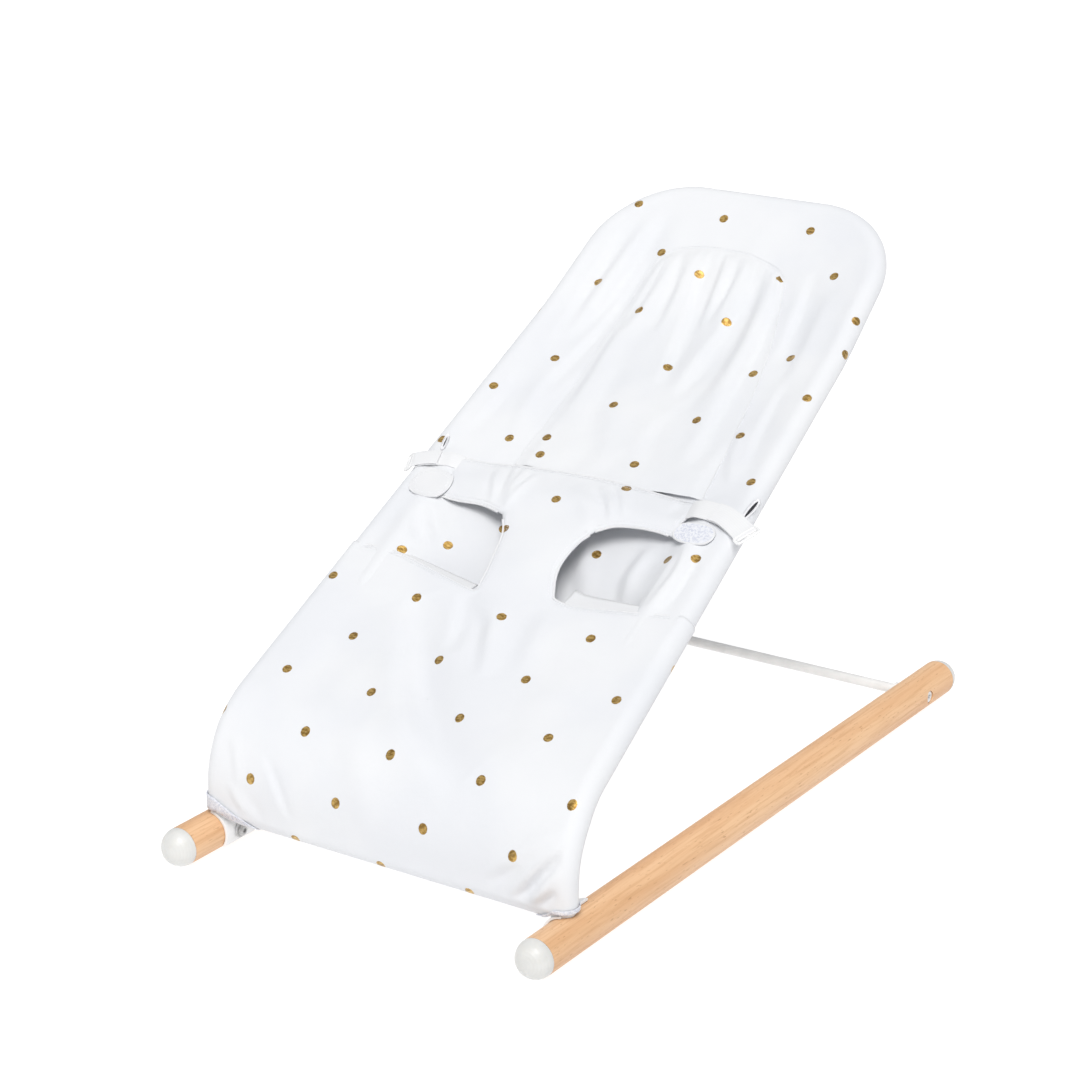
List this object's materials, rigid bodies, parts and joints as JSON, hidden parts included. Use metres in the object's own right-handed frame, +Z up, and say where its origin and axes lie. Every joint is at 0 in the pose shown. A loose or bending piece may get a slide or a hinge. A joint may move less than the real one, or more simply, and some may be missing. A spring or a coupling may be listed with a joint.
{
  "type": "baby bouncer seat",
  "caption": "Reclined baby bouncer: fabric sling on a bent tube frame that springs over two round wooden runners, with leg holes and a waist belt.",
  "frame": {"origin": "centre of the bounding box on the floor, midway between the runners and between their ends", "axes": "+X across to the sitter's left, +Y towards the head end along the runners, +Z up"},
  "size_m": [0.41, 0.76, 0.4946],
  "materials": {
    "beech": "satin clear lacquer on beech",
    "silicone": "milky translucent silicone",
    "white_steel": "white powder coat",
    "zinc_steel": "zinc plated",
    "brass": "plain",
    "cover_fabric": "white cotton jersey with gold foil dots",
    "pocket_fabric": "white cotton jersey with gold foil dots",
    "inset_fabric": "white cotton jersey, gathered",
    "webbing": "satin woven webbing",
    "hook_tape": "hook and loop tape",
    "white_plastic": "moulded white"
  },
  "bodies": {
    "base": {"runner_left": "beech", "runner_right": "beech", "end_cap_front_left": "silicone", "end_cap_front_right": "silicone", "end_cap_rear_left": "silicone", "end_cap_rear_right": "silicone", "crossbar": "white_steel", "crossbar_ferrule_left": "white_plastic", "crossbar_ferrule_right": "white_plastic", "crossbar_bolt_left": "zinc_steel", "crossbar_bolt_right": "zinc_steel", "saddle_foot_left": "white_steel", "saddle_foot_right": "white_steel", "saddle_washer_left": "zinc_steel", "saddle_washer_right": "zinc_steel", "saddle_screw_left": "zinc_steel", "saddle_screw_right": "zinc_steel", "threaded_insert_left": "brass", "threaded_insert_right": "brass", "front_cross_tube": "white_steel", "hem_wrap": "cover_fabric", "leg_cuff_left": "hook_tape", "leg_cuff_right": "hook_tape"},
    "seat": {"leg_tube_left": "white_steel", "leg_tube_right": "white_steel", "head_bow": "white_steel", "joint_sleeve_left": "zinc_steel", "joint_sleeve_right": "zinc_steel", "joint_screw_left": "zinc_steel", "joint_screw_right": "zinc_steel", "front_panel": "cover_fabric", "crotch_bridge": "cover_fabric", "waist_belt": "cover_fabric", "seat_pocket": "pocket_fabric", "back_panel": "cover_fabric", "inset_panel": "inset_fabric", "side_strip_left": "cover_fabric", "side_strip_right": "cover_fabric", "strap_left": "webbing", "strap_right": "webbing"},
    "tab_left": {"tab_left": "hook_tape"},
    "tab_right": {"tab_right": "hook_tape"},
    "tail_left": {"strap_tail_left": "webbing", "tail_clip_left": "white_plastic"},
    "tail_right": {"strap_tail_right": "webbing", "tail_clip_right": "white_plastic"}
  },
  "joints": [
    {"name": "seat_bounce", "type": "hinge", "parent": "base", "child": "seat", "pos_m": [0, -0.312, 0.059], "axis": [-1, 0, 0], "range_deg": [-2, 6], "stiffness_Nm_per_rad": 330, "springref_deg": -1.03},
    {"name": "tab_left_peel", "type": "hinge", "parent": "seat", "child": "tab_left", "pos_m": [-0.1435, -0.03127, 0.28563], "axis": [-1, 0, 0], "range_deg": [0, 100]},
    {"name": "tab_right_peel", "type": "hinge", "parent": "seat", "child": "tab_right", "pos_m": [0.1435, -0.03127, 0.28563], "axis": [-1, 0, 0], "range_deg": [0, 100]},
    {"name": "tail_left_pull", "type": "slide", "parent": "seat", "child": "tail_left", "axis": [-1, 0, 0], "range_m": [0, 0.025]},
    {"name": "tail_right_pull", "type": "slide", "parent": "seat", "child": "tail_right", "axis": [1, 0, 0], "range_m": [0, 0.025]}
  ]
}
